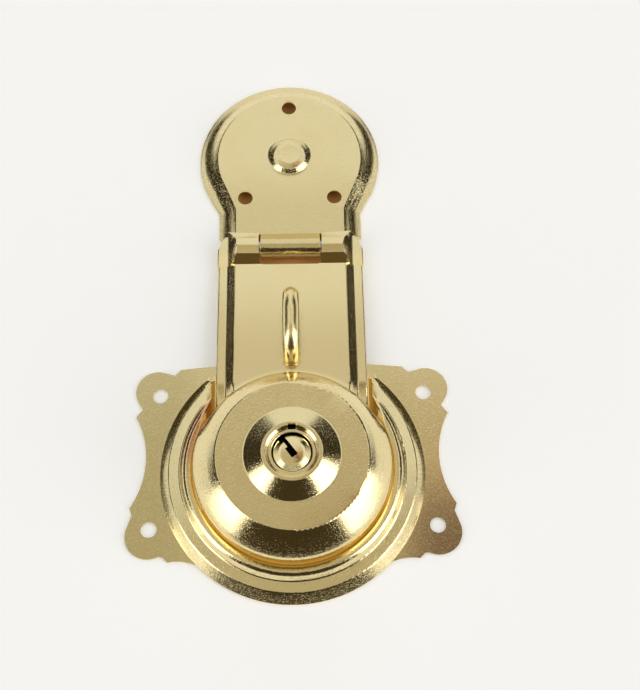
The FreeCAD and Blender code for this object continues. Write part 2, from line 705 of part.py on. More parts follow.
def loop_washers():
    """A washer behind the arm at each foot of the loop, lying along the arm's climb."""
    lean = -math.degrees(math.atan(ARM_CLIMB))
    top = -SHEET / math.cos(math.radians(lean))
    washers = []
    for y in loop_feet():
        ring = cylinder(WASHER_RADIUS, top - WASHER_THICKNESS, top)
        ring.rotate(FreeCAD.Vector(0, 0, 0), FreeCAD.Vector(1, 0, 0), lean)
        ring.translate(FreeCAD.Vector(0, y, field_z(y)))
        washers.append(ring.cut(cylinder(LOOP_WIRE_RADIUS + SEAT_GAP, 0, CREST_Z, 0, y)))
    return Part.makeCompound(washers)


def wall_radius(z):
    """Outer radius of the case's wall at a height; the wall spreads from its top to its rim."""
    share = (CASE_TOP_Z - z) / (CASE_TOP_Z - CASE_RIM_Z)
    return CASE_TOP_RADIUS + share * (CASE_RADIUS - CASE_TOP_RADIUS)


def post_places():
    """Three posts on a circle round the plug, close inside the case's wall."""
    circle = min(CASE_TOP_RADIUS, wall_radius(COVER_TOP_Z)) - POST_INSET
    return [on_circle((0, 0), circle, angle) for angle in POST_ANGLES]


def plug_sleeve():
    """Turned housing of the plug, with a shoulder under the crest and a flange on the frame."""
    flange_top = FRAME_TOP_Z + FLANGE_THICKNESS
    shoulder = CREST_Z - 1.0 - SHEET - SEAT_GAP
    body = section("xz", [
        (SLEEVE_BORE_RADIUS, SLEEVE_BOTTOM_Z), (SLEEVE_BODY_RADIUS, SLEEVE_BOTTOM_Z),
        (SLEEVE_BODY_RADIUS, FRAME_TOP_Z), (SLEEVE_FLANGE_RADIUS, FRAME_TOP_Z),
        (SLEEVE_FLANGE_RADIUS, flange_top), (SLEEVE_BODY_RADIUS, flange_top),
        (SLEEVE_BODY_RADIUS, shoulder), (PLUG_OPENING_RADIUS - SEAT_GAP, shoulder),
        (PLUG_OPENING_RADIUS - SEAT_GAP, SLEEVE_TOP_Z, 0.3), (SLEEVE_BORE_RADIUS, SLEEVE_TOP_Z, 0.2),
    ])
    return turned(body).cut(rim_notch(shoulder - 2.5, CREST_Z + 1))


def lock_frame():
    """Round plate that clamps the sleeve's flange and hangs on the three posts."""
    low = FRAME_TOP_Z - FRAME_THICKNESS
    radius = min(wall_radius(low), wall_radius(FRAME_TOP_Z)) - SHEET - FRAME_PLAY
    frame = cylinder(radius, low, FRAME_TOP_Z)
    frame = frame.cut(cylinder(SLEEVE_BODY_RADIUS + SEAT_GAP, low - 1, FRAME_TOP_Z + 1))
    for x, y in post_places():
        frame = frame.cut(cylinder(POST_RADIUS + SEAT_GAP, low - 1, FRAME_TOP_Z + 1, x, y))
    return frame


def cover_posts():
    """Posts welded under the case's top: a collar carries the frame, the foot takes a screw."""
    posts = []
    frame_low = FRAME_TOP_Z - FRAME_THICKNESS
    for x, y in post_places():
        post = cylinder(POST_RADIUS, COVER_TOP_Z, CASE_TOP_Z - SHEET, x, y)
        post = post.fuse(cylinder(POST_COLLAR_RADIUS, frame_low - 1.5, frame_low, x, y))
        hole = cylinder(SCREW_SHANK_RADIUS, 0, COVER_TOP_Z + POST_HOLE_DEPTH, x, y)
        posts.append(post.cut(hole).removeSplitter())
    return Part.makeCompound(posts)


def cover_screws():
    """Round-headed screws that hold the back cover to the posts."""
    low = COVER_TOP_Z - COVER_THICKNESS
    screws = []
    for x, y in post_places():
        profile = section("xz", [
            (0, low - SCREW_HEAD_HEIGHT), (0.6 * SCREW_HEAD_RADIUS, low - SCREW_HEAD_HEIGHT, 0.4),
            (SCREW_HEAD_RADIUS, low - 0.4, 0.2), (SCREW_HEAD_RADIUS, low), (SCREW_SHANK_RADIUS, low),
            (SCREW_SHANK_RADIUS, low + SCREW_LENGTH), (0, low + SCREW_LENGTH),
        ])
        slot = block(-SCREW_HEAD_RADIUS, SCREW_HEAD_RADIUS, -0.3, 0.3,
                     low - 2 * SCREW_HEAD_HEIGHT, low - 0.55 * SCREW_HEAD_HEIGHT)
        screws.append(turned(profile).cut(slot).translated(FreeCAD.Vector(x, y, 0)))
    return Part.makeCompound(screws)


def back_cover():
    """Round cover behind the lock works, with a slot that the staple comes through."""
    low = COVER_TOP_Z - COVER_THICKNESS
    cover = cylinder(CASE_RADIUS - SHEET - COVER_PLAY, low, COVER_TOP_Z)
    reach_x = staple_leg_x() + STAPLE_BAR + COVER_SLOT_PLAY
    reach_y = STAPLE_LENGTH / 2 + COVER_SLOT_PLAY
    cover = cover.cut(block(-reach_x, reach_x, STAPLE_Y - reach_y, STAPLE_Y + reach_y, low - 1, COVER_TOP_Z + 1))
    for x, y in post_places():
        cover = cover.cut(cylinder(SCREW_SHANK_RADIUS + SEAT_GAP, low - 1, COVER_TOP_Z + 1, x, y))
    return cover


def cam_pin_start():
    """Place of the cam's pin at rest; it crosses evenly to the other side as the plug turns."""
    return on_circle((0, 0), CAM_THROW, PLUG_TURN / 2)


def bolt():
    """Flat bolt: a slotted yoke that the cam pin drives, and a tongue for the staple."""
    low, high = bolt_z()
    pin_x, pin_y = cam_pin_start()
    slot_half = CAM_PIN_RADIUS + CAM_PIN_PLAY
    slot_low = pin_x - CAM_PIN_RADIUS - CAM_PIN_PLAY
    slot_high = CAM_THROW + CAM_PIN_RADIUS + CAM_PIN_PLAY
    yoke_low = pin_y - slot_half - YOKE_BORDER
    yoke_high = pin_y + slot_half + YOKE_BORDER
    outline = section("xy", [
        (-YOKE_HALF_WIDTH, yoke_high, 0.8), (-YOKE_HALF_WIDTH, yoke_low, 0.8),
        (-BOLT_TONGUE_HALF_WIDTH, yoke_low, 0.6), (-BOLT_TONGUE_HALF_WIDTH, BOLT_TIP_Y + 0.8),
        (-BOLT_TONGUE_HALF_WIDTH + 0.8, BOLT_TIP_Y), (BOLT_TONGUE_HALF_WIDTH - 0.8, BOLT_TIP_Y),
        (BOLT_TONGUE_HALF_WIDTH, BOLT_TIP_Y + 0.8), (BOLT_TONGUE_HALF_WIDTH, yoke_low, 0.6),
        (YOKE_HALF_WIDTH, yoke_low, 0.8), (YOKE_HALF_WIDTH, yoke_high, 0.8),
    ])
    plate = outline.translated(FreeCAD.Vector(0, 0, low)).extrude(FreeCAD.Vector(0, 0, high - low))
    slot = block(slot_low, slot_high, pin_y - slot_half, pin_y + slot_half, low - 1, high + 1)
    return plate.cut(slot)


def bolt_travel():
    """How far the bolt moves for the plug's full turn."""
    return 2 * CAM_THROW * math.sin(math.radians(PLUG_TURN / 2))


def guide_rails():
    """Rails welded to the cover beside the bolt's yoke; one is parted for the spring's nose."""
    near = YOKE_HALF_WIDTH + SIDE_PLAY
    high = bolt_z()[1]
    whole = block(-near - RAIL_WIDTH, -near, -RAIL_HALF_LENGTH, RAIL_HALF_LENGTH, COVER_TOP_Z, high)
    upper = block(near, near + RAIL_WIDTH, RAIL_OPENING / 2, RAIL_HALF_LENGTH, COVER_TOP_Z, high)
    lower = block(near, near + RAIL_WIDTH, -RAIL_HALF_LENGTH, -RAIL_OPENING / 2, COVER_TOP_Z, high)
    return Part.makeCompound([whole, upper, lower])


def bolt_bridge():
    """A strap over the bolt's tongue, with a welded foot on each side."""
    inner = BOLT_TONGUE_HALF_WIDTH + SIDE_PLAY
    outer = inner + BRIDGE_SHEET
    roof_low = bolt_z()[1] + SIDE_PLAY
    roof_high = roof_low + BRIDGE_SHEET
    far = outer + BRIDGE_FOOT
    strap = section("xz", [
        (-far, COVER_TOP_Z), (-inner, COVER_TOP_Z), (-inner, roof_low, 0.3), (inner, roof_low, 0.3),
        (inner, COVER_TOP_Z), (far, COVER_TOP_Z), (far, COVER_TOP_Z + BRIDGE_SHEET),
        (outer, COVER_TOP_Z + BRIDGE_SHEET), (outer, roof_high, 0.9), (-outer, roof_high, 0.9),
        (-outer, COVER_TOP_Z + BRIDGE_SHEET), (-far, COVER_TOP_Z + BRIDGE_SHEET),
    ])
    start = FreeCAD.Vector(0, BRIDGE_Y - BRIDGE_LENGTH / 2, 0)
    return strap.translated(start).extrude(FreeCAD.Vector(0, BRIDGE_LENGTH, 0))


def plug_slot():
    """The slot in the plug, cut from its edge past its centre, with one ward left standing."""
    half = SLOT_WIDTH / 2
    deep = block(-half, half, -SLOT_PAST_CENTRE, SLEEVE_BORE_RADIUS + 1, SLOT_FLOOR_Z, CREST_Z + 2)
    ward_y = SLEEVE_BORE_RADIUS / 2 - WARD_LENGTH / 2
    ward = block(-half - 1, -half + WARD_DEPTH, ward_y, ward_y + WARD_LENGTH, SLOT_FLOOR_Z - 1, CREST_Z + 3)
    slot = deep.cut(ward)
    slot.rotate(FreeCAD.Vector(0, 0, 0), FreeCAD.Vector(0, 0, 1), SLOT_ANGLE)
    return slot


def plug():
    """Turned plug with a domed face and a squared spigot for the cam."""
    radius = SLEEVE_BORE_RADIUS - RUNNING_FIT
    shoulder_z = SLEEVE_BOTTOM_Z - SEAT_GAP
    cam_low = shoulder_z - CAM_THICKNESS
    clip_low = cam_low - CLIP_THICKNESS - SEAT_GAP
    profile = section("xz", [
        (0, clip_low), (SPIGOT_RADIUS, clip_low), (SPIGOT_RADIUS, shoulder_z), (radius, shoulder_z),
        (radius, PLUG_FACE_Z - 0.5), (radius - 0.5, PLUG_FACE_Z), (0.6 * radius, PLUG_FACE_Z + 0.7 * PLUG_CROWN, 3.0),
        (0, PLUG_FACE_Z + PLUG_CROWN),
    ])
    body = turned(profile)
    for side in (-1, 1):
        near = side * SPIGOT_RADIUS * 0.8
        far = side * (SPIGOT_RADIUS + 1)
        flat = block(min(near, far), max(near, far), -SPIGOT_RADIUS - 1, SPIGOT_RADIUS + 1, cam_low, shoulder_z)
        body = body.cut(flat)
    groove = cylinder(SPIGOT_RADIUS + 1, cam_low - CLIP_THICKNESS, cam_low)
    groove = groove.cut(cylinder(SPIGOT_RADIUS * 0.8, cam_low - CLIP_THICKNESS, cam_low))
    return body.cut(groove).cut(plug_slot())


def cam():
    """Cam plate on the plug's flats, with the pin that drives the bolt."""
    high = SLEEVE_BOTTOM_Z - SEAT_GAP - SEAT_GAP
    low = high - CAM_THICKNESS + SEAT_GAP
    pin_x, pin_y = cam_pin_start()
    disc = cylinder(SPIGOT_RADIUS + 1.4, low, high)
    nose = cylinder(CAM_PIN_RADIUS + 1.0, low, high, pin_x, pin_y)
    bolt_low = bolt_z()[0]
    pin = cylinder(CAM_PIN_RADIUS, bolt_low + 0.3, high, pin_x, pin_y)
    body = disc.fuse(nose).fuse(pin)
    hole = cylinder(SPIGOT_RADIUS + 0.02, low - 1, high + 1)
    across = SPIGOT_RADIUS * 0.8 + 0.02
    hole = hole.common(block(-across, across, -BEYOND, BEYOND, low - 1, high + 1))
    return body.cut(hole).removeSplitter()


def plug_clip():
    """Open spring clip in the groove below the cam."""
    high = SLEEVE_BOTTOM_Z - SEAT_GAP - CAM_THICKNESS - 0.02
    low = high - CLIP_THICKNESS + 0.04
    inner = SPIGOT_RADIUS * 0.8 + 0.02
    ring = cylinder(CAM_THROW - CAM_PIN_RADIUS - 0.2, low, high).cut(cylinder(inner, low - 1, high + 1))
    return ring.cut(block(-1.6, 1.6, -SPIGOT_RADIUS - 2, 0, low - 1, high + 1))


def spring_places():
    """Back line of the leaf spring and the centre of its eye."""
    leaf_x = YOKE_HALF_WIDTH + SIDE_PLAY + RAIL_WIDTH + 0.7
    return leaf_x, (leaf_x + SPRING_EYE_RADIUS, RAIL_HALF_LENGTH + 1.0)


def detent_spring():
    """Leaf spring with a nose that stands beside the bolt's yoke, and an eye at its fixed end."""
    low = COVER_TOP_Z + BOLT_LIFT
    leaf_x, eye = spring_places()
    nose_x = YOKE_HALF_WIDTH + SIDE_PLAY
    strip = SPRING_THICKNESS
    nose_half = RAIL_OPENING / 2 - 0.3
    leaf = section("xy", [
        (leaf_x, -RAIL_HALF_LENGTH / 2), (leaf_x, -nose_half), (nose_x, 0, 0.3), (leaf_x, nose_half),
        (leaf_x, eye[1]), (leaf_x + strip, eye[1]), (leaf_x + strip, nose_half + 0.1),
        (nose_x + 1.2 * strip, 0), (leaf_x + strip, -nose_half - 0.1), (leaf_x + strip, -RAIL_HALF_LENGTH / 2),
    ])
    leaf = leaf.translated(FreeCAD.Vector(0, 0, low)).extrude(FreeCAD.Vector(0, 0, SPRING_HEIGHT))
    spring = leaf.fuse(cylinder(SPRING_EYE_RADIUS, low, low + SPRING_HEIGHT, eye[0], eye[1]))
    hole = cylinder(SPRING_EYE_RADIUS - strip, low - 1, low + SPRING_HEIGHT + 1, eye[0], eye[1])
    return spring.cut(hole).removeSplitter()


def spring_rivet():
    """Headed stud on the cover that holds the spring's eye."""
    x, y = spring_places()[1]
    top = COVER_TOP_Z + BOLT_LIFT + SPRING_HEIGHT + SEAT_GAP
    stud = cylinder(SPRING_EYE_RADIUS - SPRING_THICKNESS - SEAT_GAP, COVER_TOP_Z, top, x, y)
    return stud.fuse(cylinder(SPRING_EYE_RADIUS + 0.3, top, top + 0.6, x, y)).removeSplitter()


NODES = {
    "base_plate": base_plate,
    "catch_staple": catch_staple,
    "staple_rivets": staple_rivets,
    "lid_plate": lid_plate,
    "hasp_shell": hasp_shell,
    "hinge_pin": hinge_pin,
    "pull_loop": pull_loop,
    "loop_washers": loop_washers,
    "plug_sleeve": plug_sleeve,
    "lock_frame": lock_frame,
    "cover_posts": cover_posts,
    "back_cover": back_cover,
    "cover_screws": cover_screws,
    "guide_rails": guide_rails,
    "bolt_bridge": bolt_bridge,
    "detent_spring": detent_spring,
    "spring_rivet": spring_rivet,
    "bolt": bolt,
    "plug": plug,
    "cam": cam,
    "plug_clip": plug_clip,
}

os.makedirs("parts", exist_ok=True)
for name, make in NODES.items():
    make().exportStep(os.path.join("parts", name + ".step"))
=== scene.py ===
import math

import bpy
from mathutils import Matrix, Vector


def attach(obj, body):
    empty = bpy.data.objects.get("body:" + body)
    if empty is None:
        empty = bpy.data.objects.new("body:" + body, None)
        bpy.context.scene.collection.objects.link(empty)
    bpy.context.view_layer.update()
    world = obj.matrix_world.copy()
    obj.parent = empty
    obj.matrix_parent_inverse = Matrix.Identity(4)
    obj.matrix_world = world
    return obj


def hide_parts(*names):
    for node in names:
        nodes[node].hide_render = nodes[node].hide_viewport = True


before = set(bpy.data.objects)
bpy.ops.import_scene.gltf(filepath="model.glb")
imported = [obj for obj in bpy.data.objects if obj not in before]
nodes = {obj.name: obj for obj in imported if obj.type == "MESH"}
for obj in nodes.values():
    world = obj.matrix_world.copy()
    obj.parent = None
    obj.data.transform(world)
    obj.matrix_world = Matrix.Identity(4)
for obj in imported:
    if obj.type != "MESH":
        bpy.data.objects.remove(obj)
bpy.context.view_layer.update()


# Base plate.
# Drawn and blanked from 1 mm sheet steel with a round seat, a rolled bead and a ledge round it and
# four screw ears, then brass-plated and lacquered to a satin shine with a fine orange peel.
def maths(tree, operation, first, second=None, third=None):
    """Adds one Math node to a tree and hands back its value."""
    node = tree.nodes.new("ShaderNodeMath")
    node.operation = operation
    for socket, value in zip(node.inputs, (first, second, third)):
        if value is None:
            continue
        if isinstance(value, (int, float)):
            socket.default_value = value
        else:
            tree.links.new(value, socket)
    return node.outputs["Value"]


def all_of(tree, *masks):
    """The share of a point on which all the masks agree: their product."""
    shared = masks[0]
    for mask in masks[1:]:
        shared = maths(tree, "MULTIPLY", shared, mask)
    return shared


def ramp(tree, value, low, high):
    """Adds a soft step that climbs from 0 at low to 1 at high, or falls where low is the greater."""
    node = tree.nodes.new("ShaderNodeMapRange")
    node.interpolation_type = "SMOOTHSTEP"
    tree.links.new(value, node.inputs["Value"])
    node.inputs["From Min"].default_value = min(low, high)
    node.inputs["From Max"].default_value = max(low, high)
    node.inputs["To Min"].default_value = 0.0 if low < high else 1.0
    node.inputs["To Max"].default_value = 1.0 if low < high else 0.0
    return node.outputs["Result"]


def add_plate_peel_group():
    """Node group for plated sheet: a fine peel in the surface and a faint cloudiness of tone."""
    tree = bpy.data.node_groups.new("plate_peel", "ShaderNodeTree")
    face = tree.interface
    face.new_socket("Tone", in_out="INPUT", socket_type="NodeSocketColor")
    face.new_socket("Dull Tone", in_out="INPUT", socket_type="NodeSocketColor")
    face.new_socket("Gloss", in_out="INPUT", socket_type="NodeSocketFloat")
    face.new_socket("Peel", in_out="INPUT", socket_type="NodeSocketFloat")
    face.new_socket("Color", in_out="OUTPUT", socket_type="NodeSocketColor")
    face.new_socket("Roughness", in_out="OUTPUT", socket_type="NodeSocketFloat")
    face.new_socket("Normal", in_out="OUTPUT", socket_type="NodeSocketVector")
    add, link = tree.nodes.new, tree.links.new
    given, out = add("NodeGroupInput"), add("NodeGroupOutput")
    place = add("ShaderNodeTexCoord")

    cloud = add("ShaderNodeTexNoise")
    cloud.inputs["Scale"].default_value = CLOUD_SCALE
    cloud.inputs["Detail"].default_value = CLOUD_DETAIL
    link(place.outputs["Object"], cloud.inputs["Vector"])
    tone = add("ShaderNodeMix")
    tone.data_type = "RGBA"
    link(ramp(tree, cloud.outputs["Fac"], *CLOUD_SPAN), tone.inputs["Factor"])
    link(given.outputs["Tone"], tone.inputs["A"])
    link(given.outputs["Dull Tone"], tone.inputs["B"])
    link(tone.outputs["Result"], out.inputs["Color"])

    speckle = add("ShaderNodeTexNoise")
    speckle.inputs["Scale"].default_value = SPECKLE_SCALE
    speckle.inputs["Detail"].default_value = SPECKLE_DETAIL
    link(place.outputs["Object"], speckle.inputs["Vector"])
    grain = speckle.outputs["Fac"]
    roughness = maths(tree, "MULTIPLY_ADD", grain, SPECKLE_ROUGHNESS, given.outputs["Gloss"])
    link(roughness, out.inputs["Roughness"])

    bump = add("ShaderNodeBump")
    bump.inputs["Distance"].default_value = PEEL_HEIGHT
    link(given.outputs["Peel"], bump.inputs["Strength"])
    link(ramp(tree, grain, *PEEL_SPAN), bump.inputs["Height"])
    link(bump.outputs["Normal"], out.inputs["Normal"])
    return tree


MM = 0.001
CLOUD_SCALE, CLOUD_DETAIL, CLOUD_SPAN = 70.0, 3.0, (0.35, 0.75)
SPECKLE_SCALE, SPECKLE_DETAIL, SPECKLE_ROUGHNESS = 2500.0, 1.0, 0.05
PEEL_HEIGHT, PEEL_SPAN = 0.035 * MM, (0.50, 0.80)
plate_peel = add_plate_peel_group()


def make_plated_metal(name, tone, dull_tone, gloss, peel):
    """Principled metal that takes its colour, roughness and normal from the peel group."""
    metal = bpy.data.materials.new(name)
    metal.use_nodes = True
    tree = metal.node_tree
    shader = tree.nodes["Principled BSDF"]
    shader.inputs["Metallic"].default_value = 1.0
    group = tree.nodes.new("ShaderNodeGroup")
    group.name = "peel"
    group.node_tree = plate_peel
    group.inputs["Tone"].default_value = (*tone, 1.0)
    group.inputs["Dull Tone"].default_value = (*dull_tone, 1.0)
    group.inputs["Gloss"].default_value = gloss
    group.inputs["Peel"].default_value = peel
    tree.links.new(group.outputs["Color"], shader.inputs["Base Color"])
    tree.links.new(group.outputs["Roughness"], shader.inputs["Roughness"])
    tree.links.new(group.outputs["Normal"], shader.inputs["Normal"])
    return metal


def lay_tone(metal, mask, tone):
    """Lays a second tone over a plated metal where a mask says so; most tones laid so are painted
    shade and painted reflection.
    """
    tree = metal.node_tree
    shader = tree.nodes["Principled BSDF"]
    mix = tree.nodes.new("ShaderNodeMix")
    mix.data_type = "RGBA"
    before = shader.inputs["Base Color"].links[0].from_socket
    tree.links.new(mask, mix.inputs["Factor"])
    tree.links.new(before, mix.inputs["A"])
    mix.inputs["B"].default_value = (*tone, 1.0)
    tree.links.new(mix.outputs["Result"], shader.inputs["Base Color"])


def glow(metal, mask, tone):
    """Paints light into a narrow gap from within as emission, standing in for the light that brass
    walls facing each other bounce there.
    """
    tree = metal.node_tree
    shader = tree.nodes["Principled BSDF"]
    mix = tree.nodes.new("ShaderNodeMix")
    mix.data_type = "RGBA"
    tree.links.new(mask, mix.inputs["Factor"])
    mix.inputs["A"].default_value = (0.0, 0.0, 0.0, 1.0)
    mix.inputs["B"].default_value = (*tone, 1.0)
    tree.links.new(mix.outputs["Result"], shader.inputs["Emission Color"])
    shader.inputs["Emission Strength"].default_value = 1.0


def add_place(tree):
    """Adds the nodes for a point's own x, y and z and its distance from the plug's axis."""
    place = tree.nodes.new("ShaderNodeTexCoord")
    split = tree.nodes.new("ShaderNodeSeparateXYZ")
    tree.links.new(place.outputs["Object"], split.inputs["Vector"])
    x, y, z = split.outputs
    squares = maths(tree, "MULTIPLY_ADD", x, x, maths(tree, "MULTIPLY", y, y))
    return x, y, z, maths(tree, "SQRT", squares)


def sheet_copy(node, name):
    """A copy of a stamping, welded into one mesh, to be worked further."""
    sheet = bpy.data.objects.new(name, nodes[node].data.copy())
    bpy.context.scene.collection.objects.link(sheet)
    bpy.ops.object.select_all(action="DESELECT")
    sheet.select_set(True)
    bpy.context.view_layer.objects.active = sheet
    bpy.ops.mesh.customdata_custom_splitnormals_clear()
    bpy.ops.object.mode_set(mode="EDIT")
    bpy.ops.mesh.select_all(action="SELECT")
    bpy.ops.mesh.remove_doubles(threshold=WELD)
    bpy.ops.object.mode_set(mode="OBJECT")
    return sheet


def finish_sheet(sheet, node, body, metal):
    """Breaks the sheared edges with a fine bevel, evens the shading and puts the sheet to use."""
    edge = sheet.modifiers.new("broken_edge", "BEVEL")
    edge.width = BROKEN_EDGE
    edge.segments = 2
    edge.limit_method = "ANGLE"
    edge.angle_limit = math.radians(SHARP_FROM)
    bpy.ops.object.modifier_apply(modifier="broken_edge")
    bpy.ops.object.shade_smooth_by_angle(angle=math.radians(SMOOTH_TO))
    even = sheet.modifiers.new("even_shade", "WEIGHTED_NORMAL")
    even.keep_sharp = True
    bpy.ops.object.modifier_apply(modifier="even_shade")
    sheet.data.materials.clear()
    sheet.data.materials.append(metal)
    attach(sheet, body)
    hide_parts(node)


def section_line(corners, steps=8):
    """A wall's section through corners given as (radius, height, rounding), in millimetres."""
    line = [Vector(corners[0][:2]) * MM]
    for before, (r, z, rounding), after in zip(corners, corners[1:], corners[2:]):
        corner, back, ahead = Vector((r, z)), Vector(before[:2]), Vector(after[:2])
        reach = rounding * math.tan((corner - back).angle(ahead - corner) / 2)
        start = corner + (back - corner).normalized() * reach
        end = corner + (ahead - corner).normalized() * reach
        for step in range(steps + 1):
            t = step / steps
            line.append((start * (1 - t) ** 2 + corner * 2 * t * (1 - t) + end * t ** 2) * MM)
    return line + [Vector(corners[-1][:2]) * MM]


def redraw_wall(mesh, old, new, share):
    """Moves a turned wall from one section to another and keeps each point's depth in the sheet."""
    for vertex in mesh.vertices:
        x, y, z = vertex.co
        radius = math.hypot(x, y)
        point = Vector((radius, z))
        nearest = None
        for a, b, c, d in zip(old, old[1:], new, new[1:]):
            run = b - a
            t = (point - a).dot(run) / run.length_squared
            if not -END_SLACK <= t <= 1 + END_SLACK:
                continue
            depth = (point - a).cross(run.normalized())
            if nearest is None or abs(depth) < abs(nearest[0]):
                fresh = d - c
                normal = Vector((fresh.y, -fresh.x)).normalized()
                nearest = (depth, c + fresh * t + normal * depth)
        if nearest is None or abs(nearest[0]) > SHEET_AND_MORE:
            continue
        moved = point.lerp(nearest[1], share(x, y, z))
        vertex.co = (x * moved.x / radius, y * moved.x / radius, moved.y)


def cut_across(places, normal):
    """Cuts the active mesh at each place along an axis, so that it can bend there."""
    bpy.ops.object.mode_set(mode="EDIT")
    for place in places:
        bpy.ops.mesh.select_all(action="SELECT")
        bpy.ops.mesh.bisect(plane_co=[axis * place * MM for axis in normal], plane_no=normal)
    bpy.ops.object.mode_set(mode="OBJECT")


def climb(value, start, run):
    """Straight climb from 0 at start to 1 after a run."""
    return min(max((value - start) / run, 0.0), 1.0)


def rise(value, low, high):
    """Soft step from 0 at low to 1 at high."""
    t = climb(value, low, high - low)
    return t * t * (3 - 2 * t)


SHEET = 1.0 * MM
SHEET_AND_MORE = 1.25 * SHEET
WELD = 0.002 * MM
END_SLACK = 0.001
BROKEN_EDGE = 0.15 * MM  # asked for: small faces beside an edge hold the bevel to 0.03 mm or less
SHARP_FROM, SMOOTH_TO = 40, 32
satin_brass = (0.87, 0.735, 0.405)
satin_brass_dull = (0.85, 0.705, 0.375)
painted_copper_reflection = (0.74, 0.44, 0.25)
shaded_brass = (0.46, 0.38, 0.23)
painted_ear_shade = (0.76, 0.65, 0.35)
painted_bounce_light = (0.15, 0.085, 0.015)
RING_WALL_DRAWN = ((32.4, 7.5, 0), (34.9, 4.7, 1.0), (37.9, 4.2, 1.2), (40.4, 1.0, 0))
RING_WALL_WORN = ((32.4, 7.5, 0), (34.3, 4.6, 0.8), (37.6, 4.1, 0.9), (40.4, 1.0, 0))
WALL_FOOT_Z = 0.3 * MM
BEAD_END_X, BEAD_END_RUN, BEAD_END_DROP = 25.4 * MM, 3.1 * MM, 1.6 * MM
BEAD_END_FROM_Y, BEAD_FOOT_Z, BEAD_TOP_Z = 12 * MM, 2.5 * MM, 6.0 * MM
BEAD_END_CUTS = (-28.5, -27.7, -27, -26.4, -25.9, 25.9, 26.4, 27, 27.7, 28.5)

# Each tone sets in where its span starts and is whole where it ends, along the radius, x or y, or in
# radians round the plug's axis from the left.
BEAD_INNER_SPAN, BEAD_OUTER_SPAN = (30.0 * MM, 30.6 * MM), (34.6 * MM, 33.2 * MM)
COPPER_REFLECTION_START_SPAN, COPPER_REFLECTION_END_SPAN = (-0.05, 0.15), (0.95, 0.65)
RIGHT_EAR_SPAN, LOWER_EAR_SPAN = (26 * MM, 44 * MM), (6 * MM, -20 * MM)
LEFT_EARS_SPAN = (-27 * MM, -40 * MM)
BEAD_END_LOW_SPAN, BEAD_END_HIGH_SPAN = (17 * MM, 20 * MM), (33 * MM, 30 * MM)
BEAD_END_SIDE_SPAN = (25.6 * MM, 24.2 * MM)
UNDER_CASE_SPAN = (30.9 * MM, 30.2 * MM)
base_brass = make_plated_metal("base_brass", satin_brass, satin_brass_dull, gloss=0.11, peel=0.55)
tree = base_brass.node_tree
x, y, _, radius = add_place(tree)
turn = maths(tree, "ARCTAN2", y, maths(tree, "MULTIPLY", x, -1.0))
# Painted reflection: a copper tone on the bead from the left round to the upper left stands in for the
# light that the case wall and bead throw on each other.
on_bead = all_of(tree, ramp(tree, radius, *BEAD_INNER_SPAN), ramp(tree, radius, *BEAD_OUTER_SPAN))
upper_left = all_of(tree, ramp(tree, turn, *COPPER_REFLECTION_START_SPAN), ramp(tree, turn, *COPPER_REFLECTION_END_SPAN))
lay_tone(base_brass, all_of(tree, on_bead, upper_left), painted_copper_reflection)
lower_right_ear = all_of(tree, ramp(tree, x, *RIGHT_EAR_SPAN), ramp(tree, y, *LOWER_EAR_SPAN))
lay_tone(base_brass, lower_right_ear, shaded_brass)
# Painted shade: the left ears get a darker tone, standing in for the dim ceiling they reflect.
left_ears = ramp(tree, x, *LEFT_EARS_SPAN)
lay_tone(base_brass, left_ears, painted_ear_shade)
# Painted light: the plate under the case and the bead's ends beside the arm glow faintly, standing in
# for light bounced into those gaps.
at_bead_ends = all_of(
    tree,
    ramp(tree, y, *BEAD_END_LOW_SPAN),
    ramp(tree, y, *BEAD_END_HIGH_SPAN),
    ramp(tree, maths(tree, "ABSOLUTE", x), *BEAD_END_SIDE_SPAN),
)
under_case = ramp(tree, radius, *UNDER_CASE_SPAN)
glow(base_brass, maths(tree, "MAXIMUM", under_case, at_bead_ends), painted_bounce_light)

base = sheet_copy("base_plate", "base_plate_pressed")
redraw_wall(
    base.data,
    section_line(RING_WALL_DRAWN),
    section_line(RING_WALL_WORN),
    lambda x, y, z: 1.0 if z > WALL_FOOT_Z else 0.0,
)
cut_across(BEAD_END_CUTS, (1, 0, 0))
for vertex in base.data.vertices:
    x, y, z = vertex.co
    if y < BEAD_END_FROM_Y:
        continue
    near_end = 1.0 - climb(abs(x), BEAD_END_X, BEAD_END_RUN)
    vertex.co.z -= BEAD_END_DROP * near_end ** 2 * rise(z, BEAD_FOOT_Z, BEAD_TOP_Z)
finish_sheet(base, "base_plate", "fixed", base_brass)


# Catch staple and its rivets.
# A bent strip of zinc-plated steel, riveted to the base plate, that the bolt's tongue runs into.
def dress(node, metal):
    """Gives a node its finish."""
    mesh = nodes[node].data
    mesh.materials.clear()
    mesh.materials.append(metal)


zinc_grey = (0.60, 0.60, 0.57)
zinc_grey_dull = (0.50, 0.50, 0.48)
zinc = make_plated_metal("zinc_plate", zinc_grey, zinc_grey_dull, gloss=0.25, peel=0.5)
dress("catch_staple", zinc)
dress("staple_rivets", zinc)


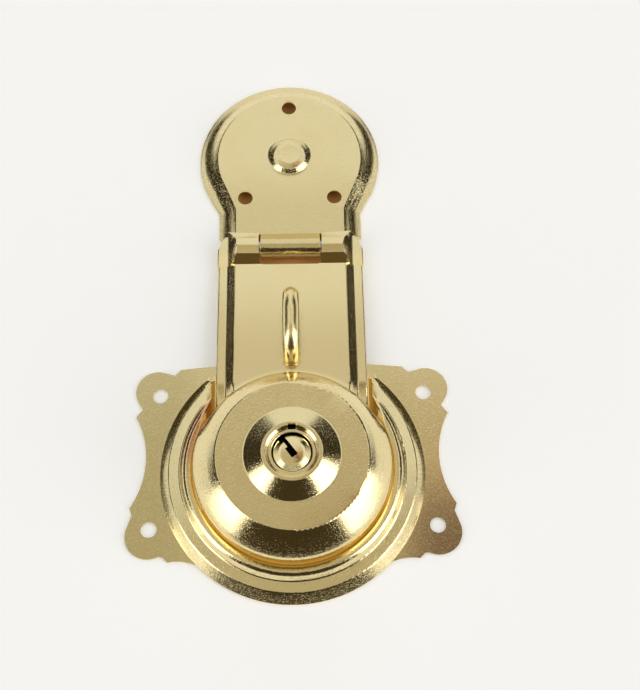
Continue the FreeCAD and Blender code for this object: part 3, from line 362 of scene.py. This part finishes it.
# Lid plate.
# Drawn from the same sheet, with a bell-shaped skirt round its head and neck and a tongue that is
# rolled round the hinge pin.
neck_brass = (0.77, 0.64, 0.33)
TOWARDS_HINGE_SPAN = (108 * MM, 88 * MM)
lid_brass = make_plated_metal("lid_brass", satin_brass, satin_brass_dull, gloss=0.11, peel=0.8)
tree = lid_brass.node_tree
_, y, _, _ = add_place(tree)
lay_tone(lid_brass, ramp(tree, y, *TOWARDS_HINGE_SPAN), neck_brass)
lid = sheet_copy("lid_plate", "lid_plate_pressed")
BOSS_CENTRE = Vector((0, 109.9 * MM))
BOSS_LINE = ((8.3, 4.395, 0), (7.2, 4.43, 2.0), (5.4, 5.6, 2.6), (3.6, 5.9, 3.0), (0.0, 5.7, 0))
BOSS_STEPS = 64
BOSS_FOOT_RADIUS, LID_FACE_Z = 7.4 * MM, 4.35 * MM
bpy.ops.object.mode_set(mode="EDIT")
bpy.ops.mesh.select_all(action="DESELECT")
bpy.ops.mesh.select_mode(type="FACE")
bpy.ops.object.mode_set(mode="OBJECT")
for face in lid.data.polygons:
    reach = max((lid.data.vertices[i].co.xy - BOSS_CENTRE).length for i in face.vertices)
    lowest = min(lid.data.vertices[i].co.z for i in face.vertices)
    face.select = reach < BOSS_FOOT_RADIUS and lowest > LID_FACE_Z
bpy.ops.object.mode_set(mode="EDIT")
bpy.ops.mesh.delete(type="FACE")
bpy.ops.object.mode_set(mode="OBJECT")
line = section_line(BOSS_LINE)
boss_mesh = bpy.data.meshes.new("boss")
boss_mesh.from_pydata(
    [(BOSS_CENTRE.x + point.x, BOSS_CENTRE.y, point.y) for point in line],
    [(i, i + 1) for i in range(len(line) - 1)], [],
)
boss = bpy.data.objects.new("boss", boss_mesh)
bpy.context.scene.collection.objects.link(boss)
bpy.ops.object.select_all(action="DESELECT")
boss.select_set(True)
bpy.context.view_layer.objects.active = boss
bpy.ops.object.mode_set(mode="EDIT")
bpy.ops.mesh.select_all(action="SELECT")
bpy.ops.mesh.spin(steps=BOSS_STEPS, angle=math.tau, center=(*BOSS_CENTRE, 0), axis=(0, 0, 1))
bpy.ops.mesh.select_all(action="SELECT")
bpy.ops.mesh.remove_doubles(threshold=WELD)
bpy.ops.mesh.normals_make_consistent(inside=False)
bpy.ops.object.mode_set(mode="OBJECT")
lid.select_set(True)
bpy.context.view_layer.objects.active = lid
bpy.ops.object.join()
finish_sheet(lid, "lid_plate", "fixed", lid_brass)


# Hasp shell and hinge pin.
# Hinge cover, arm and lock case are one deep stamping. Its wall leaves the case's flat top at a crease
# and bows down to an upright rim; the arm's shoulders fall away gently, and two tabs hold the pin.
CASE_WALL_DRAWN = ((22.6, 18.6, 0), (28.5, 14.5, 15.0), (29.7, 7.4, 0.3), (29.7, 6.0, 0))
CASE_WALL_BOWED = ((22.6, 18.6, 0), (26.74, 15.12, 40.0), (29.7, 11.6, 0.7), (29.7, 6.0, 0))
SHOULDER_X, SHOULDER_RUN, SHOULDER_LIFT = 17.9 * MM, 2.4 * MM, 1.4 * MM
FLANGE_RUN, FLANGE_LIFT = 3.1 * MM, 0.45 * MM
ARM_FROM_Y, ARM_WHOLE_Y = 19.0 * MM, 27.0 * MM
FIELD_Z_AT_RIDGE, ARM_CLIMB, RIDGE_FOOT_Y = 6.2 * MM, 0.101, 68.4 * MM
SKIRT_EDGE, SKIRT_WHOLE = -4.9 * MM, -4.0 * MM
ARM_CUTS = (19, 20, 21, 22, 23, 24, 25, 26, 27, 31, 40, 50, 60)
BLEND_SPAN_Y, BLEND_SPAN_Z = (8 * MM, 16 * MM), (9.9 * MM, 13.5 * MM)


def case_share(x, y, z):
    """How far the wall is redrawn: wholly round the case, fading out down the blend into the arm."""
    beside_arm = rise(y, *BLEND_SPAN_Y)
    above_arm = rise(z, *BLEND_SPAN_Z)
    return 1.0 - beside_arm * (1.0 - above_arm)


painted_warm_shade = (0.70, 0.56, 0.28)
DOWN_ARM_SPAN, PAST_CASE_SPAN = (66 * MM, 32 * MM), (28.5 * MM, 30.5 * MM)
ARM_FOOT_SPAN, FLANGE_SPAN = (12 * MM, 20 * MM), (20.4 * MM, 21.2 * MM)
RIM_RADIUS_SPAN, RIM_HEIGHT_SPAN = (29.2 * MM, 29.5 * MM), (11.0 * MM, 6.5 * MM)
BEFORE_ARM_SPAN = (20 * MM, 16 * MM)
RIDGE_LOW_SPAN, RIDGE_HIGH_SPAN = (67.5 * MM, 68.5 * MM), (75 * MM, 70 * MM)
RIDGE_LIGHT = 0.35
hasp_brass = make_plated_metal("hasp_brass", satin_brass, satin_brass_dull, gloss=0.11, peel=0.5)
tree = hasp_brass.node_tree
x, y, z, radius = add_place(tree)
# Painted shade: a darker, warmer tone on the arm beside the case and on its flanges, fading out down
# the arm, stands in for their dimmer reflection.
past_case = all_of(tree, ramp(tree, y, *DOWN_ARM_SPAN), ramp(tree, radius, *PAST_CASE_SPAN))
lay_tone(hasp_brass, all_of(tree, past_case, ramp(tree, y, *ARM_FOOT_SPAN)), painted_warm_shade)
on_flange = all_of(tree, past_case, ramp(tree, maths(tree, "ABSOLUTE", x), *FLANGE_SPAN))
lay_tone(hasp_brass, on_flange, painted_warm_shade)
# Painted light: the case's lower rim away from the arm glows faintly, and the hinge ridge more weakly,
# standing in for bounced light.
on_rim = all_of(
    tree,
    ramp(tree, radius, *RIM_RADIUS_SPAN),
    ramp(tree, z, *RIM_HEIGHT_SPAN),
    ramp(tree, y, *BEFORE_ARM_SPAN),
)
on_ridge = all_of(tree, ramp(tree, y, *RIDGE_LOW_SPAN), ramp(tree, y, *RIDGE_HIGH_SPAN))
glow(hasp_brass, maths(tree, "MULTIPLY_ADD", on_ridge, RIDGE_LIGHT, on_rim), painted_bounce_light)

hasp = sheet_copy("hasp_shell", "hasp_shell_pressed")
cut_across(ARM_CUTS, (0, 1, 0))
redraw_wall(
    hasp.data,
    section_line(CASE_WALL_DRAWN),
    section_line(CASE_WALL_BOWED),
    case_share,
)
for vertex in hasp.data.vertices:
    x, y, z = vertex.co
    below_field = z - FIELD_Z_AT_RIDGE - ARM_CLIMB * max(RIDGE_FOOT_Y - y, 0.0)
    lift = SHOULDER_LIFT * climb(abs(x), SHOULDER_X, SHOULDER_RUN)
    lift += FLANGE_LIFT * climb(abs(x), SHOULDER_X + SHOULDER_RUN, FLANGE_RUN)
    vertex.co.z += lift * rise(y, ARM_FROM_Y, ARM_WHOLE_Y) * rise(below_field, SKIRT_EDGE, SKIRT_WHOLE)
finish_sheet(hasp, "hasp_shell", "hasp", hasp_brass)
dress("hinge_pin", zinc)


# Pull loop and its washers.
# Bent from brass-plated wire, passed through the arm and headed over two washers underneath.
LOOP_FATTENING = 0.2 * MM
wire_brass = (0.90, 0.76, 0.42)
wire_brass_dull = (0.88, 0.72, 0.37)
loop_brass = make_plated_metal("loop_brass", wire_brass, wire_brass_dull, gloss=0.22, peel=0.6)
loop = sheet_copy("pull_loop", "pull_loop_plated")
bpy.ops.object.mode_set(mode="EDIT")
bpy.ops.mesh.select_all(action="SELECT")
bpy.ops.transform.shrink_fatten(value=LOOP_FATTENING)
bpy.ops.object.mode_set(mode="OBJECT")
finish_sheet(loop, "pull_loop", "hasp", loop_brass)
dress("loop_washers", zinc)


# Plug sleeve.
# Turned brass bush that stands in the case's opening and carries the plug.
sleeve_tone = (0.91, 0.80, 0.52)
sleeve_tone_dull = (0.89, 0.76, 0.46)
bright_brass = make_plated_metal("bright_brass", sleeve_tone, sleeve_tone_dull, gloss=0.09, peel=0.3)
dress("plug_sleeve", bright_brass)


# Lock works.
# Zinc-plated frame, posts, cover, rails, spring and bolt, all hidden under the case.
for name in (
    "lock_frame", "cover_posts", "back_cover", "cover_screws", "guide_rails", "bolt_bridge",
    "detent_spring", "spring_rivet", "bolt", "cam", "plug_clip",
):
    dress(name, zinc)


# Plug.
# Bright turned brass with a domed face; all that lies below its rim or stands upright, the deep slot
# above all, is painted black as shade.
PLUG_RIM_Z, RIM_FADE = 19.7 * MM, 0.1 * MM
UPRIGHT_SPAN = (0.6, 0.4)
plug_tone = (0.90, 0.76, 0.42)
plug_tone_dull = (0.86, 0.70, 0.36)
painted_slot_shade = (0.012, 0.010, 0.008)
plug_brass = make_plated_metal("plug_brass", plug_tone, plug_tone_dull, gloss=0.07, peel=0.3)
tree = plug_brass.node_tree
place = tree.nodes.new("ShaderNodeTexCoord")
height = tree.nodes.new("ShaderNodeSeparateXYZ")
tree.links.new(place.outputs["Object"], height.inputs["Vector"])
facing = tree.nodes.new("ShaderNodeSeparateXYZ")
tree.links.new(place.outputs["Normal"], facing.inputs["Vector"])
# Painted shade: black on every face sunk below the rim or standing upright.
sunk = ramp(tree, height.outputs["Z"], PLUG_RIM_Z, PLUG_RIM_Z - RIM_FADE)
upright = ramp(tree, maths(tree, "ABSOLUTE", facing.outputs["Z"]), *UPRIGHT_SPAN)
lay_tone(plug_brass, maths(tree, "MAXIMUM", sunk, upright), painted_slot_shade)
dress("plug", plug_brass)


# Studio.
# A white sweep under the part, a pale ceiling behind and above it, a soft box to each side of the
# camera, and a dim room elsewhere, which is what the brass shows in its dark bands.
def make_paper(name, tone, roughness):
    """Plain paper of one tone."""
    paper = bpy.data.materials.new(name)
    paper.use_nodes = True
    shader = paper.node_tree.nodes["Principled BSDF"]
    shader.inputs["Base Color"].default_value = (*tone, 1.0)
    shader.inputs["Roughness"].default_value = roughness
    return paper


FLOOR_SIZE = 4.0
FLOOR_WHITENING = 0.17
bpy.ops.object.select_all(action="DESELECT")
bpy.ops.mesh.primitive_plane_add(size=FLOOR_SIZE, location=(0, 0, 0))
floor = bpy.context.object
floor.name = "studio_floor"
white_paper = make_paper("white_paper", (0.96, 0.96, 0.955), roughness=0.9)
tree = white_paper.node_tree
shader = tree.nodes["Principled BSDF"]
shader.inputs["Specular IOR Level"].default_value = 0.1
shader.inputs["Emission Color"].default_value = (1.0, 1.0, 1.0, 1.0)
rays = tree.nodes.new("ShaderNodeLightPath")
seen = maths(tree, "MAXIMUM", rays.outputs["Is Camera Ray"], rays.outputs["Is Glossy Ray"])
seen = maths(tree, "MAXIMUM", seen, rays.outputs["Is Transmission Ray"])
tree.links.new(maths(tree, "MULTIPLY", seen, FLOOR_WHITENING), shader.inputs["Emission Strength"])
floor.data.materials.append(white_paper)

# Painted shade: a brown card on the floor under the lid plate's head and the hinge, seen through the
# holes and the hinge window, stands in for the brownish shade there.
CARD_CENTRE, CARD_WIDTH, CARD_LENGTH = (0, 100.5 * MM, 0.15 * MM), 36 * MM, 67 * MM
bpy.ops.object.select_all(action="DESELECT")
bpy.ops.mesh.primitive_plane_add(size=1, location=CARD_CENTRE)
card = bpy.context.object
card.name = "painted_shade_card"
bpy.ops.transform.resize(value=(CARD_WIDTH, CARD_LENGTH, 1))
bpy.ops.object.transform_apply(location=True, rotation=False, scale=True)
card.data.materials.append(make_paper("painted_shade_paper", (0.80, 0.42, 0.14), roughness=0.8))


PATCH_SPANS = ("Azimuth", "Elevation", "Half Width", "Half Height", "Softness")


def add_room_patch_group():
    """Node group for the room: one patch around a direction, soft at its edge, laid over a tone."""
    tree = bpy.data.node_groups.new("room_patch", "ShaderNodeTree")
    face = tree.interface
    for name in ("Under", "Over"):
        face.new_socket(name, in_out="INPUT", socket_type="NodeSocketColor")
    for name in PATCH_SPANS:
        face.new_socket(name, in_out="INPUT", socket_type="NodeSocketFloat")
    face.new_socket("Color", in_out="OUTPUT", socket_type="NodeSocketColor")
    add, link = tree.nodes.new, tree.links.new
    given, out = add("NodeGroupInput"), add("NodeGroupOutput")
    place = add("ShaderNodeTexCoord")
    split = add("ShaderNodeSeparateXYZ")
    link(place.outputs["Generated"], split.inputs["Vector"])
    around = maths(tree, "ARCTAN2", split.outputs["Y"], split.outputs["X"])
    around = maths(tree, "SUBTRACT", around, maths(tree, "RADIANS", given.outputs["Azimuth"]))
    around = maths(tree, "WRAP", around, math.pi, -math.pi)
    above = maths(tree, "ARCSINE", split.outputs["Z"])
    above = maths(tree, "SUBTRACT", above, maths(tree, "RADIANS", given.outputs["Elevation"]))
    soft = maths(tree, "RADIANS", given.outputs["Softness"])
    edges = []
    for offset, half in ((around, "Half Width"), (above, "Half Height")):
        half_span = maths(tree, "RADIANS", given.outputs[half])
        step = add("ShaderNodeMapRange")
        step.interpolation_type = "SMOOTHSTEP"
        link(maths(tree, "SUBTRACT", half_span, maths(tree, "ABSOLUTE", offset)), step.inputs["Value"])
        link(maths(tree, "MULTIPLY", soft, -1.0), step.inputs["From Min"])
        link(soft, step.inputs["From Max"])
        edges.append(step.outputs["Result"])
    mask = maths(tree, "MULTIPLY", *edges)
    blend = add("ShaderNodeMix")
    blend.data_type = "RGBA"
    link(mask, blend.inputs["Factor"])
    link(given.outputs["Under"], blend.inputs["A"])
    link(given.outputs["Over"], blend.inputs["B"])
    link(blend.outputs["Result"], out.inputs["Color"])
    return tree


ROOM_TONE = (0.85, 0.86, 0.86)
ROOM_PATCHES = (
    # what is there, its tone, azimuth, elevation, half width, half height and softness in degrees
    ("dim wall on the left", (0.036, 0.030, 0.016), 150, 24, 36, 18, 5),
    ("dim wall on the right", (0.036, 0.030, 0.016), 36, 24, 30, 18, 5),
    ("dim room in front", (0.050, 0.038, 0.020), 268, 22, 52, 42, 7),
    ("soft box on the left", (2.6, 2.6, 2.55), 205, 32, 16, 28, 6),
    ("soft box on the right", (2.6, 2.6, 2.55), 339, 32, 23, 28, 4),
    ("tan ceiling", (0.53, 0.49, 0.38), 90, 90, 181, 24, 5),
    ("copper beam", (0.50, 0.30, 0.18), 48, 77, 22, 8, 4),
    ("dark beam", (0.04, 0.04, 0.03), 38, 81, 24, 6, 3),
)
world = bpy.data.worlds.new("studio_room")
bpy.context.scene.world = world
world.use_nodes = True
tree = world.node_tree
room_patch = add_room_patch_group()
last = None
for label, tone, *spans in ROOM_PATCHES:
    patch = tree.nodes.new("ShaderNodeGroup")
    patch.node_tree = room_patch
    patch.label = label
    if last is None:
        patch.inputs["Under"].default_value = (*ROOM_TONE, 1.0)
    else:
        tree.links.new(last.outputs["Color"], patch.inputs["Under"])
    patch.inputs["Over"].default_value = (*tone, 1.0)
    for socket, degrees in zip(PATCH_SPANS, spans):
        patch.inputs[socket].default_value = degrees
    last = patch
tree.links.new(last.outputs["Color"], tree.nodes["Background"].inputs["Color"])
tree.nodes["Background"].inputs["Strength"].default_value = 1.0


# Camera.
# It looks down on the part from in front of the lock case, 23 degrees off square.
CAMERA_PLACE = (0.003876, -0.107712, 0.352784)
CAMERA_TURN = (23.041, -0.372, -1.111)
LONG_SIDE_PIXELS, FOCAL_PIXELS = 690, 1200
SENSOR_WIDTH = 36.0
bpy.ops.object.camera_add(location=CAMERA_PLACE, rotation=[math.radians(a) for a in CAMERA_TURN])
camera = bpy.context.object
camera.data.sensor_width = SENSOR_WIDTH
camera.data.lens = SENSOR_WIDTH * FOCAL_PIXELS / LONG_SIDE_PIXELS
camera.data.clip_start = 0.01
camera.data.clip_end = 20.0
bpy.context.scene.camera = camera
bpy.context.scene.view_settings.view_transform = "Standard"
